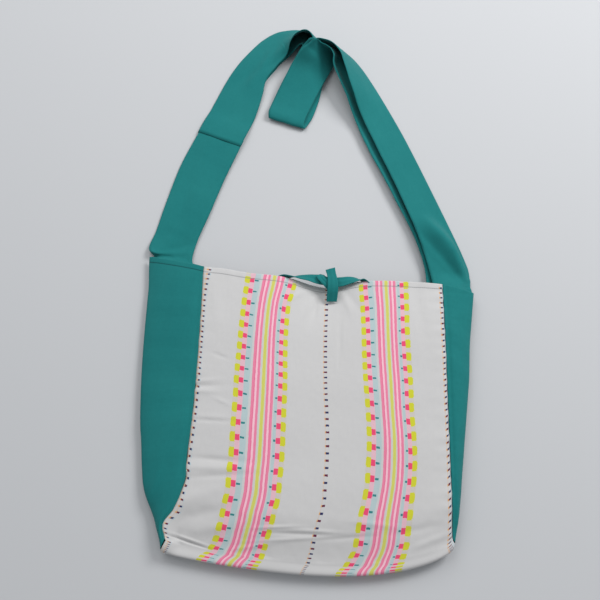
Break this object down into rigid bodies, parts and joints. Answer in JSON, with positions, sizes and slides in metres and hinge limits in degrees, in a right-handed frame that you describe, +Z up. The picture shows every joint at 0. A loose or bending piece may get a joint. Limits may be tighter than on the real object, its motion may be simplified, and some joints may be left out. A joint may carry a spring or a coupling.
{
  "type": "crossbody bag",
  "caption": "Soft crossbody bag lying on its back: patterned cotton front, base and back, canvas side panels, a folded band strap and a tied mouth",
  "frame": {"origin": "on the surface the bag lies on, under the middle of its outline, strap included", "axes": "+Y runs from the bag's base to the strap's far end, +X is to the right of a viewer who looks down on the front with the strap away from them, +Z is up out of the front"},
  "size_m": [0.4816, 0.8724, 0.0539],
  "materials": {
    "handloom_cotton": "matt woven cotton",
    "teal_canvas": "matt plain-weave canvas"
  },
  "bodies": {
    "root": {"body_cloth": "handloom_cotton", "gusset_left": "teal_canvas", "gusset_right": "teal_canvas", "strap_short": "teal_canvas", "strap_long": "teal_canvas", "tie_left": "teal_canvas", "tie_right": "teal_canvas"}
  },
  "joints": []
}
